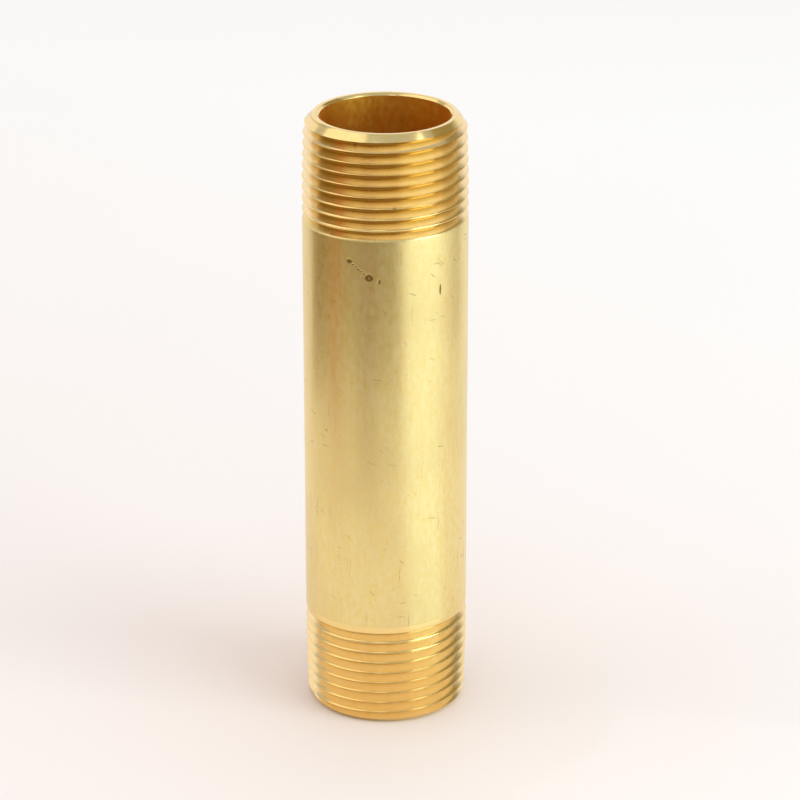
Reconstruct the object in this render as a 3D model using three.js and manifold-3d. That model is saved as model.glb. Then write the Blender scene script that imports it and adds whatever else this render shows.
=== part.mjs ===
// A 3/4 in. brass pipe nipple, 4 in. long: one length of tube with a male taper pipe thread (3/4-14 NPT)
// cut on each end. Millimetres, +Z along the tube, origin at the centre of the lower end face.

import * as THREE from 'three';
import { ParametricGeometry } from 'three/addons/geometries/ParametricGeometry.js';
import { mergeVertices } from 'three/addons/utils/BufferGeometryUtils.js';
import Module from 'manifold-3d';

const INCH = 25.4;

// The tube: 3/4 in. regular brass pipe.
const LENGTH = 4 * INCH;
const OUTER_RADIUS = (1.05 * INCH) / 2;
const WALL = 0.114 * INCH;
const BORE_RADIUS = OUTER_RADIUS - WALL;
const BORE_BEVEL = 0.38;

// The thread: 14 turns to the inch, 60 degree flanks, radius growing 1 in 32 away from the end face.
const PITCH = INCH / 14;
const FLANK_SLOPE = Math.tan(Math.PI / 6); // how far a flank goes along the tube for each unit of depth
const TAPER = 1 / 32;
const THREAD_DEPTH = 0.8 * PITCH;
const PITCH_RADIUS_AT_END = (0.96768 * INCH) / 2;
const CREST_RADIUS_AT_END = PITCH_RADIUS_AT_END + THREAD_DEPTH / 2;
const ROOT_RADIUS_AT_END = PITCH_RADIUS_AT_END - THREAD_DEPTH / 2;
const ROOT_FLAT = PITCH / 2 - THREAD_DEPTH * FLANK_SLOPE;

// A 45 degree chamfer leads each thread in, from the rim of its flat end face. The upper one is cut to
// just past the thread's root, and the lower one stops a little short of it.
const UPPER_FACE_RADIUS = ROOT_RADIUS_AT_END - 0.06;
const LOWER_FACE_RADIUS = ROOT_RADIUS_AT_END + 0.28;

// Places along a groove are counted in turns, from 0 where it crosses the plane of its end face.
// It opens outside the tube, is cut to full depth, and then the die lifts out over the run-out.
const OPENING_TURN = -1 / 3;
const FULL_DEPTH_TURNS = 9 + 1 / 6;
const RUN_OUT_TURNS = 1 / 3;

// Where the two grooves first cross the half plane at +X. The threads start at different angles.
const LOWER_FIRST_TURN = -1;
const UPPER_FIRST_TURN = -1 / 3;
const GROOVE_CROSSINGS = 11;

// Facets round the tube.
const STEPS_PER_TURN = 36;

// Vertices closer than this are one vertex.
const WELD_DISTANCE = 1e-4;

const wasm = await Module();
wasm.setup();

/** A closed geometry as a solid: welds its vertices and drops the triangles that the weld collapsed. */
function solidOf(geometry) {
  geometry.deleteAttribute('normal');
  geometry.deleteAttribute('uv');
  const welded = mergeVertices(geometry, WELD_DISTANCE);
  const corners = welded.index.array;
  const triangles = [];
  for (let i = 0; i < corners.length; i += 3) {
    const [a, b, c] = corners.slice(i, i + 3);
    if (a !== b && b !== c && c !== a) triangles.push(a, b, c);
  }
  const mesh = new wasm.Mesh({
    numProp: 3,
    vertProperties: welded.attributes.position.array,
    triVerts: new Uint32Array(triangles),
  });
  return new wasm.Manifold(mesh);
}

/** A solid back as a geometry, with flat facets. */
function geometryOf(solid) {
  const { vertProperties, triVerts } = solid.getMesh();
  const geometry = new THREE.BufferGeometry();
  geometry.setAttribute('position', new THREE.BufferAttribute(vertProperties, 3));
  geometry.setIndex(new THREE.BufferAttribute(triVerts, 1));
  const facets = geometry.toNonIndexed();
  facets.computeVertexNormals();
  return facets;
}

/** The radius of the surface that the groove is cut into: a cone near the end, then the plain tube. */
function crestRadiusAt(distance) {
  return Math.min(CREST_RADIUS_AT_END + distance * TAPER, OUTER_RADIUS);
}

/** How much of its full depth the groove has at a turn: 0 where it is closed, 1 over most of its length. */
function depthShareAt(turn) {
  if (turn <= OPENING_TURN) return 0;
  return THREE.MathUtils.clamp(1 - (turn - FULL_DEPTH_TURNS) / RUN_OUT_TURNS, 0, 1);
}

/** The four corners of the groove's section at a turn, as [radius, distance from the end face]. */
function grooveCorners(turn) {
  const distance = turn * PITCH;
  const crestRadius = crestRadiusAt(distance);
  const lift = (1 - depthShareAt(turn)) * THREAD_DEPTH;
  const rootRadius = Math.min(ROOT_RADIUS_AT_END + distance * TAPER + lift, crestRadius);
  const depth = crestRadius - rootRadius;
  const halfRoot = Math.min(ROOT_FLAT / 2, depth * FLANK_SLOPE);
  const halfMouth = halfRoot + depth * FLANK_SLOPE;
  return [
    [crestRadiusAt(distance - halfMouth), distance - halfMouth],
    [rootRadius, distance - halfRoot],
    [rootRadius, distance + halfRoot],
    [crestRadiusAt(distance + halfMouth), distance + halfMouth],
  ];
}

/**
 * One thread's outline in the half plane that lies a fraction of a turn along from +X, as
 * [radius, distance from the end face]. A turn further on, each crossing stands where the next one
 * began, and the first and last ones are closed there, so the outline joins up round the tube.
 */
function threadOutline(firstTurn, fraction) {
  const [startPoint] = grooveCorners(firstTurn);
  const [endPoint] = grooveCorners(firstTurn + GROOVE_CROSSINGS);
  const outline = [startPoint];
  for (let crossing = 0; crossing < GROOVE_CROSSINGS; crossing += 1) {
    outline.push(...grooveCorners(firstTurn + crossing + fraction));
  }
  outline.push(endPoint);
  return outline;
}

/** The bar's outline in one half plane, from the axis below to the axis above, as [radius, height]. */
function barOutline(fraction) {
  const lower = threadOutline(LOWER_FIRST_TURN, fraction);
  const upper = threadOutline(UPPER_FIRST_TURN, 1 - fraction).reverse();
  const outside = [...lower, ...upper.map(([radius, distance]) => [radius, LENGTH - distance])];
  const [, bottom] = outside.at(0);
  const [, top] = outside.at(-1);
  return [[0, bottom], ...outside, [0, top]];
}

/** A solid bar with the tube's outside: both right-hand threads, each running on past its end face. */
function threadedBar() {
  const outlines = [];
  for (let step = 0; step <= STEPS_PER_TURN; step += 1) outlines.push(barOutline(step / STEPS_PER_TURN));

  const sections = outlines[0].length - 1;
  const placePoint = (around, along, target) => {
    const outline = outlines[Math.round(around * STEPS_PER_TURN)];
    const [radius, height] = outline[Math.round(along * sections)];
    const angle = around * 2 * Math.PI;
    target.set(radius * Math.cos(angle), radius * Math.sin(angle), height);
  };
  return new ParametricGeometry(placePoint, STEPS_PER_TURN, sections);
}

/** An end of the tube, from its bore out to past its chamfer, as [radius, distance from the end face]. */
function endProfile(faceRadius) {
  const blankRadius = OUTER_RADIUS + 1;
  return [
    [BORE_RADIUS, BORE_BEVEL],
    [BORE_RADIUS + BORE_BEVEL, 0],
    [faceRadius, 0],
    [blankRadius, blankRadius - faceRadius],
  ];
}

/** The tube's bore, end faces, bevels and chamfers, on a tube that is a little too thick outside. */
function chamferedTube() {
  const lower = endProfile(LOWER_FACE_RADIUS);
  const upper = endProfile(UPPER_FACE_RADIUS).map(([radius, distance]) => [radius, LENGTH - distance]);
  const loop = [...lower, ...upper.reverse(), lower[0]];
  const profile = loop.map(([radius, height]) => new THREE.Vector2(radius, height));
  return new THREE.LatheGeometry(profile, STEPS_PER_TURN).rotateX(Math.PI / 2);
}

/** The whole nipple: what the bar and the tube have in common. */
function pipeNipple() {
  const solid = solidOf(threadedBar()).intersect(solidOf(chamferedTube()));
  const brass = new THREE.MeshStandardMaterial({ color: 0xc8a454, roughness: 0.35, metalness: 1 });
  const mesh = new THREE.Mesh(geometryOf(solid), brass);
  mesh.name = 'pipe_nipple';
  return mesh;
}

const group = new THREE.Group();
group.add(pipeNipple());

export default group;
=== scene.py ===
from math import cos, pi, radians, sin, tan

import bmesh
import bpy
import numpy as np
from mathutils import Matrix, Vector


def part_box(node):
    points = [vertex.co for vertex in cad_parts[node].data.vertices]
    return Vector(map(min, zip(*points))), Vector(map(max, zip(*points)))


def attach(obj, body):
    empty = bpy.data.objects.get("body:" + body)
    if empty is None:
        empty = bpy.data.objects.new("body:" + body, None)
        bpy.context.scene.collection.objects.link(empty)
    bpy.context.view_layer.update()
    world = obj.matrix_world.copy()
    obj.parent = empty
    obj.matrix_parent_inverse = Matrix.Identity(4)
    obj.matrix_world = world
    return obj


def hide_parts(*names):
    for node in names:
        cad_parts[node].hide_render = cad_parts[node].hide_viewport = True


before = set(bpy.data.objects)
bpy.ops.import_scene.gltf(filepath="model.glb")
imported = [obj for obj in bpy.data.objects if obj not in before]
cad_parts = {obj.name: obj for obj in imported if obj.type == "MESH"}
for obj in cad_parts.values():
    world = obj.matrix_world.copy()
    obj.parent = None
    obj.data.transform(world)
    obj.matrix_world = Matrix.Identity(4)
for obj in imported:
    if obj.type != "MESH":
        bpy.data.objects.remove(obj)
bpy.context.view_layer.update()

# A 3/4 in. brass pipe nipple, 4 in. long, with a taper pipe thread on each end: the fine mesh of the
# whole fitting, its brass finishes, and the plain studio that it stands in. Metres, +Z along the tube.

lowest_corner, highest_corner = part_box("pipe_nipple")

INCH = 0.0254
MM = 0.001

# The tube, as the frame gives it, and its wall.
LENGTH = highest_corner.z
OUTER_RADIUS = highest_corner.x
WALL = 0.114 * INCH
BORE_RADIUS = OUTER_RADIUS - WALL

# The thread: 14 turns to the inch, 60 degree flanks, radius growing 1 in 32 away from the end face.
PITCH = INCH / 14
FLANK_SLOPE = tan(pi / 6)
TAPER = 1 / 32
THREAD_DEPTH = 0.8 * PITCH
PITCH_RADIUS_AT_END = 0.96768 * INCH / 2
CREST_RADIUS_AT_END = PITCH_RADIUS_AT_END + THREAD_DEPTH / 2
ROOT_RADIUS_AT_END = PITCH_RADIUS_AT_END - THREAD_DEPTH / 2
ROOT_FLAT = PITCH / 2 - THREAD_DEPTH * FLANK_SLOPE

# The flat end faces run from the bevel at the bore out to the chamfer that leads the thread in.
BORE_BEVEL = 0.38 * MM
UPPER_FACE_RADIUS = ROOT_RADIUS_AT_END - 0.06 * MM
LOWER_FACE_RADIUS = ROOT_RADIUS_AT_END + 0.28 * MM

# Places along a groove are counted in turns, from 0 where it crosses the plane of its end face.
OPENING_TURN = -1 / 3
FULL_DEPTH_TURNS = 9 + 1 / 6
RUN_OUT_TURNS = 1 / 3
LOWER_FIRST_TURN = -1
UPPER_FIRST_TURN = -1 / 3
GROOVE_CROSSINGS = 11
LOWER_THREADED_LENGTH = 17.5 * MM
UPPER_THREADED_LENGTH = 16.8 * MM

# How far each sharp edge is worn back along the two surfaces that meet at it. A groove's section wears
# away no more than a share of a side, and a side shorter than the shortest keeps its corners.
CREST_WEAR = 0.25 * MM
ROOT_WEAR = 0.30 * MM
MOST_OF_A_SIDE_WORN = 0.45
SHORTEST_SIDE = 0.002 * MM

# The edges of the end faces, and how far a step along a 45 degree slope goes each way.
END_EDGE_WEAR = 0.05 * MM
DIAGONAL = 0.7

# The mesh is fine round the dents on the barrel, and coarser elsewhere. Angles are in degrees.
COARSE_ANGLE = 2.0
FINE_ANGLE = 0.4
FINE_SECTORS = ((242, 270), (308, 314))
COARSE_ROW = 6 * MM
FINE_ROW = 0.1 * MM
FINE_ROWS_FROM = 73.5 * MM
END_COLUMNS = 288

# Faces that meet at less than this angle, in degrees, are shaded as one surface.
SHARP_ANGLE = 38
MOST_FACES_AT_A_POINT = 12

# Points closer than the first are one point, and edges shorter than the second are taken out.
WELD_DISTANCE = 0.0005 * MM
SHORTEST_EDGE = 0.0002 * MM

# How far from a surface of the tube a face's middle may be and still belong to it.
CHAMFER_MARGIN = 0.05 * MM
BORE_MARGIN = 0.01 * MM
END_FACE_MARGIN = 0.001 * MM

# Dents from handling, as (angle, height, half width, half height, depth), in degrees and millimetres.
PIT = (245, 81, 0.38, 0.36, 0.14)
DENTS = (
    PIT,
    (266, 78, 0.16, 0.40, 0.09),
    (311, 75.5, 0.17, 0.85, 0.10),
    (276, 90, 0.35, 0.15, 0.10),
    (246, 100, 0.35, 0.25, 0.07),
)
# A round dent that leaves its middle standing: (angle, height, radius, width of the ring, depth).
RING = (259, 78.5, 0.36, 0.22, 0.08)
# A broken scratch runs from the pit towards the ring, as a row of small dents.
SCRATCH_DENTS = 5
SCRATCH_FROM, SCRATCH_TO = 0.2, 0.75
SCRATCH_DENT = (0.25, 0.12, 0.05)

# How far the fine scratches in the finish wander from a straight line.
SCRATCH_BEND = 1.2 * MM

# A dent this deep is at its darkest, and the lower thread has this share of the upper one's painted shade
# in the grooves.
DARKEST_DENT_DEPTH = 0.1 * MM
LOWER_GROOVE_SHADE = 0.6


# ---------------------------------------------------------------------------------------------------
# The shape
# ---------------------------------------------------------------------------------------------------

def crest_radius_at(distance):
    """The radius of the surface that the groove is cut into: a cone near the end, then the plain tube."""
    return np.minimum(CREST_RADIUS_AT_END + distance * TAPER, OUTER_RADIUS)


def depth_share_at(turn):
    """How much of its full depth the groove has at a turn: 0 where it is closed."""
    share = np.clip(1 - (turn - FULL_DEPTH_TURNS) / RUN_OUT_TURNS, 0, 1)
    return np.where(turn <= OPENING_TURN, 0, share)


def groove_corners(turn):
    """The four corners of the groove's section at each turn, as (radius, distance from the end face)."""
    distance = turn * PITCH
    crest_radius = crest_radius_at(distance)
    lift = (1 - depth_share_at(turn)) * THREAD_DEPTH
    root_radius = np.minimum(ROOT_RADIUS_AT_END + distance * TAPER + lift, crest_radius)
    depth = crest_radius - root_radius
    half_root = np.minimum(ROOT_FLAT / 2, depth * FLANK_SLOPE)
    half_mouth = half_root + depth * FLANK_SLOPE
    return [
        (crest_radius_at(distance - half_mouth), distance - half_mouth),
        (root_radius, distance - half_root),
        (root_radius, distance + half_root),
        (crest_radius_at(distance + half_mouth), distance + half_mouth),
    ]


def thread_outline(first_turn, fractions):
    """One thread's outline in each half plane, a fraction of a turn on from +X, as an array of
    [point, half plane, (radius, distance from the end face)].
    """
    whole_turn = np.zeros_like(fractions)
    corners = [groove_corners(first_turn + whole_turn)[0]]
    for crossing in range(GROOVE_CROSSINGS):
        corners += groove_corners(first_turn + crossing + fractions)
    corners.append(groove_corners(first_turn + GROOVE_CROSSINGS + whole_turn)[0])
    return np.array(corners).transpose(0, 2, 1)


def worn(outline):
    """The outline with each corner but the two ends rounded off, by the crests' or the roots' wear."""
    before, corner, after = outline[:-2], outline[1:-1], outline[2:]
    side_before = np.linalg.norm(before - corner, axis=2)
    side_after = np.linalg.norm(after - corner, axis=2)
    is_crest = np.arange(len(corner)) % 4 % 3 == 0
    wear = np.where(is_crest, CREST_WEAR, ROOT_WEAR)[:, None]
    cut_before = np.minimum(wear, MOST_OF_A_SIDE_WORN * side_before)
    cut_after = np.minimum(wear, MOST_OF_A_SIDE_WORN * side_after)
    closed = np.minimum(side_before, side_after) < SHORTEST_SIDE
    cut_before = np.where(closed, 0, cut_before)
    cut_after = np.where(closed, 0, cut_after)

    def moved(end, side, cut):
        return corner + (end - corner) * (cut / np.maximum(side, SHORTEST_SIDE))[..., None]

    start = moved(before, side_before, cut_before)
    finish = moved(after, side_after, cut_after)
    middle = (start + 2 * corner + finish) / 4
    rounded = np.stack([start, middle, finish], axis=1)
    return np.concatenate([outline[:1], rounded.reshape(-1, *corner.shape[1:]), outline[-1:]])


def column_fractions():
    """Where the mesh's columns stand round the tube, as fractions of a turn from 0 to 1."""
    angles = [0.0]
    while angles[-1] < 360 - COARSE_ANGLE:
        fine = any(start <= angles[-1] < end for start, end in FINE_SECTORS)
        angles.append(angles[-1] + (FINE_ANGLE if fine else COARSE_ANGLE))
    return np.array(angles + [360.0]) / 360


def barrel_heights(bottom, top):
    """Where the mesh's rows stand on the plain tube between the threads."""
    coarse = np.linspace(bottom, FINE_ROWS_FROM, round((FINE_ROWS_FROM - bottom) / COARSE_ROW) + 1)
    fine = np.linspace(FINE_ROWS_FROM, top, round((top - FINE_ROWS_FROM) / FINE_ROW) + 1)
    return np.concatenate([coarse[1:], fine[1:-1]])


def bar_outline(fractions):
    """The bar's outline from below to above, as an array of [point, half plane, (radius, height)]."""
    lower = worn(thread_outline(LOWER_FIRST_TURN, fractions))
    upper = worn(thread_outline(UPPER_FIRST_TURN, 1 - fractions))[::-1]
    upper[..., 1] = LENGTH - upper[..., 1]
    heights = barrel_heights(lower[-1, 0, 1], upper[0, 0, 1])
    barrel = np.full((len(heights), len(fractions), 2), OUTER_RADIUS)
    barrel[..., 1] = heights[:, None]
    return np.concatenate([lower, barrel, upper])


def scratch_dents():
    """The row of small dents along the line from the pit to the ring."""
    for share in np.linspace(SCRATCH_FROM, SCRATCH_TO, SCRATCH_DENTS):
        angle = PIT[0] + share * (RING[0] - PIT[0])
        height = PIT[1] + share * (RING[1] - PIT[1])
        yield (angle, height, *SCRATCH_DENT)


def dent_depth(angle, height):
    """How far the handling dents press the surface in, at each angle in degrees and height."""
    depth = np.zeros_like(height)
    for at_angle, at_height, half_width, half_height, deepest in (*DENTS, *scratch_dents()):
        along = radians(1) * (angle - at_angle) * OUTER_RADIUS / (half_width * MM)
        up = (height - at_height * MM) / (half_height * MM)
        depth += deepest * MM * np.clip(1 - (along**2 + up**2) / 2, 0, 1) ** 2
    at_angle, at_height, radius, ring_width, deepest = RING
    along = radians(1) * (angle - at_angle) * OUTER_RADIUS
    away = np.hypot(along, height - at_height * MM)
    return depth + deepest * MM * np.exp(-(((away - radius * MM) / (ring_width * MM)) ** 2))


def grid_mesh(name, outline, fractions):
    """A closed solid whose surface runs through an outline in each half plane round the tube."""
    rows, columns = outline.shape[:2]
    angle = 2 * pi * fractions
    radius, height = outline[..., 0], outline[..., 1]
    points = np.stack([radius * np.cos(angle), radius * np.sin(angle), height], axis=2)
    centres = [(0, 0, outline[0, 0, 1]), (0, 0, outline[-1, 0, 1])]
    vertices = np.concatenate([points.reshape(-1, 3), centres])

    index = np.arange(rows * columns).reshape(rows, columns)
    low, high = index[:-1], index[1:]
    quads = np.stack([low[:, :-1], low[:, 1:], high[:, 1:], high[:, :-1]], axis=2).reshape(-1, 4)
    bottom, top = rows * columns, rows * columns + 1
    caps = [(bottom, b, a) for a, b in zip(index[0, :-1], index[0, 1:])]
    caps += [(top, a, b) for a, b in zip(index[-1, :-1], index[-1, 1:])]
    mesh = bpy.data.meshes.new(name)
    mesh.from_pydata(vertices.tolist(), [], quads.tolist() + [tuple(map(int, cap)) for cap in caps])
    return welded(mesh)


def welded(mesh):
    """The mesh with vertices in one place joined, and the faces that this collapses taken out."""
    work = bmesh.new()
    work.from_mesh(mesh)
    bmesh.ops.remove_doubles(work, verts=work.verts, dist=WELD_DISTANCE)
    bmesh.ops.dissolve_degenerate(work, edges=work.edges, dist=SHORTEST_EDGE)
    work.to_mesh(mesh)
    work.free()
    return mesh


def threaded_bar():
    """A solid bar with the tube's outside, threads and dents, each thread running on past its end."""
    fractions = column_fractions()
    outline = bar_outline(fractions)
    outline[..., 0] -= dent_depth(360 * fractions, outline[..., 1])
    return grid_mesh("threaded_bar", outline, fractions)


def end_profile(face_radius):
    """An end of the tube, from its bore out to past its chamfer, as (radius, distance from the face)."""
    blank_radius = OUTER_RADIUS + 1 * MM
    wear = END_EDGE_WEAR
    slanted_wear = wear * DIAGONAL
    bevel_radius = BORE_RADIUS + BORE_BEVEL
    return [
        (BORE_RADIUS, BORE_BEVEL + wear),
        (BORE_RADIUS + slanted_wear, BORE_BEVEL - slanted_wear),
        (bevel_radius - slanted_wear, slanted_wear),
        (bevel_radius + wear, 0),
        (face_radius - wear, 0),
        (face_radius + slanted_wear, slanted_wear),
        (blank_radius, blank_radius - face_radius),
    ]


def chamfered_tube():
    """The tube's bore, end faces, bevels and chamfers, on a tube that is a little too thick outside."""
    lower = end_profile(LOWER_FACE_RADIUS)
    upper = [(radius, LENGTH - distance) for radius, distance in end_profile(UPPER_FACE_RADIUS)]
    profile = np.array(lower + upper[::-1])
    angles = 2 * pi * np.arange(END_COLUMNS) / END_COLUMNS
    points = np.stack([
        profile[:, None, 0] * np.cos(angles),
        profile[:, None, 0] * np.sin(angles),
        np.repeat(profile[:, None, 1], END_COLUMNS, axis=1),
    ], axis=2)
    low = np.arange(len(profile) * END_COLUMNS).reshape(len(profile), END_COLUMNS)
    high = np.roll(low, -1, axis=0)
    faces = np.stack([low, np.roll(low, -1, axis=1), np.roll(high, -1, axis=1), high], axis=2)
    mesh = bpy.data.meshes.new("chamfered_tube")
    mesh.from_pydata(points.reshape(-1, 3).tolist(), [], faces.reshape(-1, 4).tolist())
    return welded(mesh)


def shade_by_area(mesh):
    """Smooth shading: wide faces keep their own direction, and narrow worn edges blend into them."""
    corners = len(mesh.loops)
    vertex = np.empty(corners, dtype=int)
    mesh.loops.foreach_get("vertex_index", vertex)
    sides = np.empty(len(mesh.polygons), dtype=int)
    mesh.polygons.foreach_get("loop_total", sides)
    area = np.empty(len(mesh.polygons))
    mesh.polygons.foreach_get("area", area)
    facing = np.empty(3 * len(mesh.polygons))
    mesh.polygons.foreach_get("normal", facing)

    order = np.argsort(vertex, kind="stable")
    vertex = vertex[order]
    facing = np.repeat(facing.reshape(-1, 3), sides, axis=0)[order]
    weighted = facing * np.repeat(area, sides)[order, None]
    total = weighted.copy()
    for step in range(1, MOST_FACES_AT_A_POINT):
        same_point = vertex[step:] == vertex[:-step]
        smooth_edge = (facing[step:] * facing[:-step]).sum(axis=1) > cos(radians(SHARP_ANGLE))
        joined = (same_point & smooth_edge)[:, None]
        total[step:] += joined * weighted[:-step]
        total[:-step] += joined * weighted[step:]
    normals = np.empty((corners, 3))
    normals[order] = total / np.linalg.norm(total, axis=1)[:, None]
    mesh.shade_smooth()
    mesh.normals_split_custom_set(normals.tolist())


def pipe_nipple():
    """The whole fitting: what the bar and the tube have in common, with smooth shading on its curves."""
    collection = bpy.context.scene.collection
    nipple = bpy.data.objects.new("threaded_pipe", threaded_bar())
    tube = bpy.data.objects.new("chamfered_tube", chamfered_tube())
    collection.objects.link(nipple)
    collection.objects.link(tube)
    common = nipple.modifiers.new("common", "BOOLEAN")
    common.operation = "INTERSECT"
    common.solver = "MANIFOLD"
    common.object = tube
    bpy.context.view_layer.update()
    evaluated = nipple.evaluated_get(bpy.context.evaluated_depsgraph_get())
    mesh = bpy.data.meshes.new_from_object(evaluated)
    nipple.modifiers.clear()
    nipple.data = mesh
    bpy.data.objects.remove(tube)

    shade_by_area(mesh)
    return nipple


# ---------------------------------------------------------------------------------------------------
# The brass
# ---------------------------------------------------------------------------------------------------

class Nodes:
    """Short calls that add shader nodes to one material and link them."""

    def __init__(self, material):
        material.use_nodes = True
        self.tree = material.node_tree
        self.shader = self.tree.nodes["Principled BSDF"]
        self.place = self.add("ShaderNodeTexCoord").outputs["Object"]

    def add(self, kind, inputs=None, **settings):
        node = self.tree.nodes.new(kind)
        for name, value in settings.items():
            setattr(node, name, value)
        for name, value in (inputs or {}).items():
            self.feed(node.inputs[name], value)
        return node

    def feed(self, socket, value):
        if isinstance(value, bpy.types.NodeSocket):
            self.tree.links.new(value, socket)
        else:
            socket.default_value = value

    def math(self, operation, first, second=0.0):
        return self.add("ShaderNodeMath", {0: first, 1: second}, operation=operation).outputs[0]

    def span(self, value, low, high, new_low=0.0, new_high=1.0):
        """The value's range from low to high, moved to a new range and held there."""
        inputs = {"Value": value, "From Min": low, "From Max": high, "To Min": new_low, "To Max": new_high}
        return self.add("ShaderNodeMapRange", inputs).outputs[0]

    def stretched(self, across, along):
        """Object coordinates in cells: across is how many to the metre round the tube, along is up it."""
        node = self.add("ShaderNodeMapping", {"Vector": self.place, "Scale": (across, across, along)})
        return node.outputs[0]

    def noise(self, across, along, detail=2.0, roughness=0.5):
        inputs = {
            "Vector": self.stretched(across, along),
            "Scale": 1.0,
            "Detail": detail,
            "Roughness": roughness,
        }
        return self.add("ShaderNodeTexNoise", inputs).outputs[0]

    def unrolled(self):
        """Metres round the tube, counted from +X, and metres up it."""
        parts = self.add("ShaderNodeSeparateXYZ", {0: self.place}).outputs
        angle = self.math("ARCTAN2", parts["Y"], parts["X"])
        around = self.math("MULTIPLY", angle, OUTER_RADIUS)
        return self.add("ShaderNodeCombineXYZ", {"X": around, "Y": parts["Z"]}).outputs[0]

    def scratches(self, length, width, tilt, share):
        """Scattered scratches on the outside of the tube: 1 along the middle of each, 0 between them.

        Each cell of that length and width, in metres, tilted so many degrees from level, may hold one,
        and the share is how many do. They are bent and ragged, and they come in patches.
        """
        waves = self.add("ShaderNodeTexNoise", {"Vector": self.stretched(450, 450), "Scale": 1.0})
        bent = self.add("ShaderNodeVectorMath", {
            0: waves.outputs["Color"],
            1: (SCRATCH_BEND, SCRATCH_BEND, 0),
            2: self.unrolled(),
        }, operation="MULTIPLY_ADD").outputs[0]
        turned = self.add("ShaderNodeMapping", {
            "Vector": bent,
            "Rotation": (0, 0, radians(tilt)),
            "Scale": (length, width, 1),
        }, vector_type="TEXTURE").outputs[0]
        cells = self.add("ShaderNodeTexVoronoi", {"Vector": turned, "Scale": 1.0}, voronoi_dimensions="2D")
        ragged = self.span(self.noise(4000, 4000), 0.3, 0.7, -0.08, 0.16)
        away = self.math("ADD", cells.outputs["Distance"], ragged)
        lot = self.add("ShaderNodeSeparateColor", {0: cells.outputs["Color"]}).outputs[0]
        drawn = self.math("MULTIPLY", self.span(away, 0.28, 0.12), self.math("LESS_THAN", lot, share))
        patches = self.span(self.noise(130, 70), 0.42, 0.58, 0.1, 1)
        return self.math("MULTIPLY", drawn, patches)

    def mix(self, share, first, second):
        """Two colours mixed."""
        node = self.add("ShaderNodeMix", {0: share, 6: first, 7: second}, data_type="RGBA")
        return node.outputs[2]

    def bump(self, height, metres, after=None):
        """A normal from a height pattern that runs from 0 to 1, that many metres deep."""
        inputs = {"Height": height, "Distance": metres}
        if after is not None:
            inputs["Normal"] = after
        return self.add("ShaderNodeBump", inputs).outputs[0]


def finish(nodes, colour, roughness, normal, anisotropy=0.0):
    """Makes the material a metal with these properties."""
    nodes.shader.inputs["Metallic"].default_value = 1.0
    nodes.shader.inputs["Anisotropic"].default_value = anisotropy
    nodes.feed(nodes.shader.inputs["Base Color"], colour)
    nodes.feed(nodes.shader.inputs["Roughness"], roughness)
    nodes.feed(nodes.shader.inputs["Normal"], normal)


FRESH_BRASS = (0.88, 0.69, 0.26, 1)
PALE_BRASS = (0.91, 0.755, 0.36, 1)
DULL_BRASS = (0.76, 0.58, 0.24, 1)
RED_BRASS = (0.87, 0.61, 0.25, 1)
SCUFFED_BRASS = (0.34, 0.24, 0.10, 1)
# A darker copy of the brass, for painted shade deep in the thread's grooves.
SHADED_ROOT_BRASS = (0.72, 0.48, 0.13, 1)
CREST_BRASS = (0.95, 0.71, 0.29, 1)
CUT_BRASS = (0.94, 0.765, 0.44, 1)
WARM_BRASS = (0.93, 0.72, 0.37, 1)
# Deep amber copies of the brass, for painted shade inside the bore.
BORE_SHADE_AMBER = (0.92, 0.49, 0.04, 1)
BORE_SHADE_OLIVE = (0.92, 0.55, 0.08, 1)
# The colour that the brass darkens towards in the dents: the deeper the dent, the darker.
DENT_DARK = (0.24, 0.13, 0.03, 1)


def barrel_brass():
    """Drawn tube, finished round and round on a belt, with fine scratches and specks."""
    material = bpy.data.materials.new("brass_barrel")
    nodes = Nodes(material)
    mottle = nodes.noise(1400, 700, detail=4, roughness=0.6)
    cloud = nodes.noise(90, 45, detail=3)
    grain = nodes.noise(300, 9000, detail=3, roughness=0.7)
    streaks = nodes.noise(3600, 50, detail=3, roughness=0.6)
    specks = nodes.span(nodes.noise(2600, 4200, detail=2), 0.70, 0.80)
    level = nodes.scratches(4 * MM, 0.50 * MM, -6, 0.035)
    upright = nodes.scratches(9 * MM, 0.35 * MM, 88, 0.028)
    slanted = nodes.scratches(3 * MM, 0.60 * MM, -40, 0.025)
    scuffs = nodes.math("MAXIMUM", nodes.math("MAXIMUM", level, upright), slanted)

    colour = nodes.mix(nodes.span(mottle, 0.35, 0.65), FRESH_BRASS, PALE_BRASS)
    colour = nodes.mix(nodes.span(cloud, 0.45, 0.75, 0, 0.6), colour, DULL_BRASS)
    colour = nodes.mix(nodes.span(streaks, 0.5, 0.75, 0, 0.35), colour, RED_BRASS)
    faint_scuffs = nodes.math("MULTIPLY", scuffs, 0.55)
    dark_marks = nodes.math("MAXIMUM", faint_scuffs, nodes.math("MULTIPLY", specks, 0.8))
    colour = nodes.mix(dark_marks, colour, SCUFFED_BRASS)
    # Darker in the dents, by their depth.
    dent_darkening = nodes.add("ShaderNodeAttribute", attribute_name="dent").outputs["Fac"]
    colour = nodes.mix(nodes.span(dent_darkening, 0.05, 0.3, 0, 0.9), colour, DENT_DARK)

    roughness = nodes.span(mottle, 0.3, 0.7, 0.27, 0.34)
    roughness = nodes.math("ADD", roughness, nodes.math("MULTIPLY", scuffs, 0.10))
    normal = nodes.bump(grain, 0.004 * MM)
    normal = nodes.bump(streaks, 0.004 * MM, normal)
    normal = nodes.bump(scuffs, -0.008 * MM, normal)
    finish(nodes, colour, roughness, normal, anisotropy=-0.5)
    return material


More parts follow.
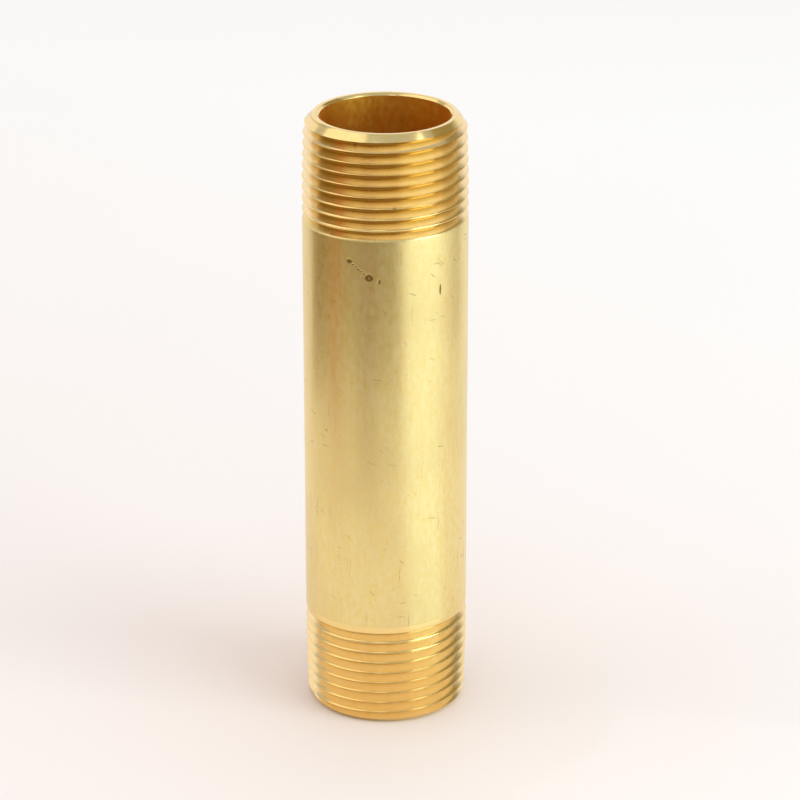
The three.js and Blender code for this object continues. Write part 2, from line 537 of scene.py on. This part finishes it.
def thread_brass():
    """A machined thread: bright on its crests, darker towards its roots by painted shade, with tool marks
    round it.
    """
    material = bpy.data.materials.new("brass_thread")
    nodes = Nodes(material)
    mottle = nodes.noise(900, 900, detail=4, roughness=0.6)
    tool_marks = nodes.noise(160, 16000, detail=2, roughness=0.7)
    torn = nodes.noise(1500, 6000, detail=3, roughness=0.7)

    colour = nodes.mix(nodes.span(mottle, 0.35, 0.65), CUT_BRASS, WARM_BRASS)
    # Painted shade: the further below the crest, the darker the brass, standing in for the shade in the
    # grooves.
    painted_groove_shade = nodes.add("ShaderNodeAttribute", attribute_name="painted_groove_shade").outputs["Fac"]
    colour = nodes.mix(nodes.span(painted_groove_shade, 0.06, 0.16), CREST_BRASS, colour)
    colour = nodes.mix(nodes.span(painted_groove_shade, 0.4, 0.95, 0, 0.85), colour, SHADED_ROOT_BRASS)
    # Darker in the dents, by their depth.
    dent_darkening = nodes.add("ShaderNodeAttribute", attribute_name="dent").outputs["Fac"]
    colour = nodes.mix(nodes.span(dent_darkening, 0.1, 0.8, 0, 0.7), colour, DENT_DARK)

    roughness = nodes.span(torn, 0.3, 0.7, 0.14, 0.23)
    normal = nodes.bump(tool_marks, 0.002 * MM)
    normal = nodes.bump(torn, 0.003 * MM, normal)
    finish(nodes, colour, roughness, normal)
    return material


def cut_brass():
    """The faced ends and their chamfers: turned bright, with a little chatter."""
    material = bpy.data.materials.new("brass_cut")
    nodes = Nodes(material)
    chatter = nodes.noise(160, 160, detail=0)
    tool_marks = nodes.noise(200, 9000, detail=2, roughness=0.7)
    mottle = nodes.noise(1200, 1200, detail=4)

    colour = nodes.mix(nodes.span(mottle, 0.35, 0.65), CREST_BRASS, PALE_BRASS)
    roughness = nodes.span(tool_marks, 0.3, 0.7, 0.14, 0.22)
    normal = nodes.bump(chatter, 0.30 * MM)
    normal = nodes.bump(tool_marks, 0.002 * MM, normal)
    finish(nodes, colour, roughness, normal)
    return material


def bore_brass():
    """The drawn bore, left as it came and duller, its colour a deep amber that is painted shade for the
    light bouncing inside it.
    """
    material = bpy.data.materials.new("brass_bore")
    nodes = Nodes(material)
    mottle = nodes.noise(1400, 900, detail=4, roughness=0.6)
    rings = nodes.noise(150, 4000, detail=3)

    colour = nodes.mix(nodes.span(mottle, 0.35, 0.65), BORE_SHADE_AMBER, BORE_SHADE_OLIVE)
    roughness = nodes.span(mottle, 0.3, 0.7, 0.38, 0.52)
    normal = nodes.bump(rings, 0.003 * MM)
    normal = nodes.bump(mottle, 0.003 * MM, normal)
    finish(nodes, colour, roughness, normal)
    return material


BARREL, THREAD, CUT, BORE = range(4)


def finish_surfaces(nipple):
    """Gives each face its surface's finish, and marks the dents and the painted shade in the grooves."""
    mesh = nipple.data
    mesh.materials.clear()
    for material in (barrel_brass(), thread_brass(), cut_brass(), bore_brass()):
        mesh.materials.append(material)

    centre = np.empty(3 * len(mesh.polygons))
    mesh.polygons.foreach_get("center", centre)
    x, y, z = centre.reshape(-1, 3).T
    radius = np.hypot(x, y)
    distance = np.minimum(z, LENGTH - z)
    face_radius = np.where(z < LENGTH / 2, LOWER_FACE_RADIUS, UPPER_FACE_RADIUS)
    finish_of = np.full(len(radius), BARREL)
    finish_of[z < LOWER_THREADED_LENGTH] = THREAD
    finish_of[z > LENGTH - UPPER_THREADED_LENGTH] = THREAD
    finish_of[radius > face_radius + distance - CHAMFER_MARGIN] = CUT
    finish_of[distance < END_FACE_MARGIN] = CUT
    finish_of[(radius < BORE_RADIUS + BORE_BEVEL) & (distance < BORE_BEVEL)] = CUT
    finish_of[(radius < BORE_RADIUS + BORE_MARGIN) & (distance > BORE_BEVEL)] = BORE
    mesh.polygons.foreach_set("material_index", finish_of)

    points = np.empty(3 * len(mesh.vertices))
    mesh.vertices.foreach_get("co", points)
    x, y, z = points.reshape(-1, 3).T
    angle = np.degrees(np.arctan2(y, x)) % 360
    outside = np.hypot(x, y) > BORE_RADIUS + BORE_BEVEL
    depth = dent_depth(angle, z) * outside / DARKEST_DENT_DEPTH
    mesh.attributes.new("dent", "FLOAT", "POINT").data.foreach_set("value", depth)

    # Painted shade in the grooves, by depth below the crest, with less of it on the lower thread.
    below_crest = crest_radius_at(np.minimum(z, LENGTH - z)) - np.hypot(x, y)
    painted_groove_shade = np.where(z < LENGTH / 2, LOWER_GROOVE_SHADE, 1.0) * below_crest / THREAD_DEPTH
    mesh.attributes.new("painted_groove_shade", "FLOAT", "POINT").data.foreach_set("value", painted_groove_shade)


# ---------------------------------------------------------------------------------------------------
# The studio
# ---------------------------------------------------------------------------------------------------

def floor():
    """A wide pale sheet of paper, with painted shade that makes it darker and pinker to the front and
    left, and a painted warm bounce light round the tube.
    """
    mesh = rectangle("floor", 6.0, 6.0)
    paper = bpy.data.materials.new("floor_paper")
    nodes = Nodes(paper)
    across, back, _ = nodes.add("ShaderNodeSeparateXYZ", {0: nodes.place}).outputs
    cloud = nodes.span(nodes.noise(6, 6), 0.3, 0.7, 0, 0.04)
    # Painted shade: the paper darkens and turns pinker towards the front and left.
    away = nodes.math("ADD", nodes.math("ADD", back, nodes.math("MULTIPLY", across, 0.4)), cloud)
    colour = nodes.mix(nodes.span(away, 0.05, 0.35), (0.94, 0.88, 0.86, 1), (0.99, 0.99, 0.99, 1))
    # Painted light: a warm cast thrown back from the brass onto the paper, close round the tube.
    from_tube = nodes.add("ShaderNodeVectorMath", {0: nodes.place}, operation="LENGTH").outputs["Value"]
    colour = nodes.mix(nodes.span(from_tube, 0.015, 0.08, 0.6, 0), colour, (0.94, 0.82, 0.76, 1))
    nodes.feed(nodes.shader.inputs["Base Color"], colour)
    nodes.shader.inputs["Roughness"].default_value = 0.6
    mesh.materials.append(paper)
    sheet = bpy.data.objects.new("floor", mesh)
    bpy.context.scene.collection.objects.link(sheet)


def rectangle(name, width, height):
    """A flat sheet that faces up, with its middle at the origin."""
    x, y = width / 2, height / 2
    mesh = bpy.data.meshes.new(name)
    mesh.from_pydata([(-x, -y, 0), (x, -y, 0), (x, y, 0), (-x, y, 0)], [], [(0, 1, 2, 3)])
    return mesh


def direction(azimuth, elevation):
    """A unit vector: azimuth in degrees from the front (-Y) towards +X, elevation in degrees."""
    flat = cos(radians(elevation))
    return Vector((sin(radians(azimuth)) * flat, -cos(radians(azimuth)) * flat, sin(radians(elevation))))


def softbox(name, azimuth, elevation, distance, size, brightness,
            aim=(0, 0, 0.05), height=None, colour=(1, 1, 1), mirrored=True):
    """A soft light in a direction from the tube, turned to where it aims, out of the camera's sight.

    One that is not mirrored lights the room but leaves no highlight in the brass.
    """
    light = bpy.data.lights.new(name, "AREA")
    light.shape = "RECTANGLE"
    light.size = size
    light.size_y = height or size
    light.energy = brightness * pi * light.size * light.size_y
    light.color = colour
    box = bpy.data.objects.new(name, light)
    box.location = direction(azimuth, elevation) * distance
    away = box.location - Vector(aim)
    box.rotation_euler = away.to_track_quat("Z", "Y").to_euler()
    box.visible_camera = False
    box.visible_glossy = mirrored
    bpy.context.scene.collection.objects.link(box)


def show_to_brass_only(name, mesh, shade, glow=0.0):
    """Puts a card of one shade in the studio where only the brass sees it."""
    material = bpy.data.materials.new(name)
    nodes = Nodes(material)
    colour = nodes.mix(nodes.noise(9, 9), shade, tuple(0.7 * part for part in shade))
    nodes.feed(nodes.shader.inputs["Base Color"], colour)
    nodes.shader.inputs["Roughness"].default_value = 0.8
    nodes.shader.inputs["Emission Color"].default_value = shade
    nodes.shader.inputs["Emission Strength"].default_value = glow
    mesh.materials.append(material)
    card = bpy.data.objects.new(name, mesh)
    card.visible_camera = False
    card.visible_diffuse = False
    card.visible_shadow = False
    bpy.context.scene.collection.objects.link(card)
    return card


def floor_card(name, from_azimuth, to_azimuth, inner, outer, shade, glow=0.0):
    """A sheet on the floor round one side, which only the brass sees, with or without a glow."""
    steps = 24
    points = []
    for step in range(steps + 1):
        towards = direction(from_azimuth + (to_azimuth - from_azimuth) * step / steps, 0)
        points += [towards * inner, towards * outer]
    mesh = bpy.data.meshes.new(name)
    mesh.from_pydata([(x, y, 1 * MM) for x, y, _ in points], [], [
        (2 * step, 2 * step + 1, 2 * step + 3, 2 * step + 2) for step in range(steps)
    ])
    show_to_brass_only(name, mesh, shade, glow)


def hung_card(name, azimuth, elevation, distance, width, height, shade):
    """A dark card hung in the air, turned to the tube, which only the brass sees."""
    card = show_to_brass_only(name, rectangle(name, width, height), shade)
    card.location = direction(azimuth, elevation) * distance
    card.rotation_euler = card.location.to_track_quat("Z", "Y").to_euler()


def studio_lights():
    softbox("window_right", 58, 24, 0.9, 0.6, 3.0, colour=(0.74, 0.94, 1.0))
    softbox("ceiling", 40, 80, 2.0, 2.0, 1.1, mirrored=False)
    softbox("overhead_front", -19, 66, 1.0, 0.19, 1.3)
    softbox("overhead_right", 68, 58, 1.0, 0.22, 1.5)
    softbox("overhead_left", -92, 50, 0.9, 0.65, 0.7, aim=(0, 0.2, 0), colour=(1.0, 0.84, 0.70))
    softbox("back_wall", -168, 18, 1.4, 3.8, 0.46, height=0.8, colour=(1.0, 0.90, 0.88))
    hung_card("card_olive", 114, 43, 0.8, 0.85, 0.30, (0.40, 0.32, 0.14, 1))
    floor_card("card_left", -118, -78, 0.16, 1.2, (0.32, 0.23, 0.08, 1))
    floor_card("card_copper", -78, -66, 0.14, 1.2, (0.55, 0.23, 0.10, 1))
    floor_card("card_side", -66, -36, 0.16, 1.2, (0.36, 0.28, 0.12, 1))
    floor_card("card_pink", -36, -11, 0.14, 1.2, (0.33, 0.23, 0.17, 1))
    floor_card("card_front", -11, 21, 0.16, 1.2, (0.33, 0.27, 0.16, 1))
    floor_card("card_window", 29, 80, 0.04, 1.0, (0.94, 0.98, 1.0, 1), glow=0.28)
    floor_card("card_right", 95, 125, 0.18, 1.2, (0.70, 0.64, 0.55, 1))


def room():
    world = bpy.data.worlds.new("room")
    world.use_nodes = True
    background = world.node_tree.nodes["Background"]
    background.inputs["Color"].default_value = (1.0, 0.985, 0.975, 1)
    background.inputs["Strength"].default_value = 0.55
    bpy.context.scene.world = world
    bpy.context.scene.cycles.glossy_bounces = 10


def camera():
    """A long lens, a little above the fitting and in front of it."""
    data = bpy.data.cameras.new("camera")
    data.lens = 158.34
    eye = bpy.data.objects.new("camera", data)
    eye.location = (2.34 * MM, -533.4 * MM, 266.8 * MM)
    eye.rotation_euler = (radians(90 - 21.88), 0, 0)
    bpy.context.scene.collection.objects.link(eye)
    bpy.context.scene.camera = eye


nipple = pipe_nipple()
finish_surfaces(nipple)
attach(nipple, "root")
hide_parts("pipe_nipple")

floor()
studio_lights()
room()
camera()
bpy.context.scene.view_settings.view_transform = "Standard"
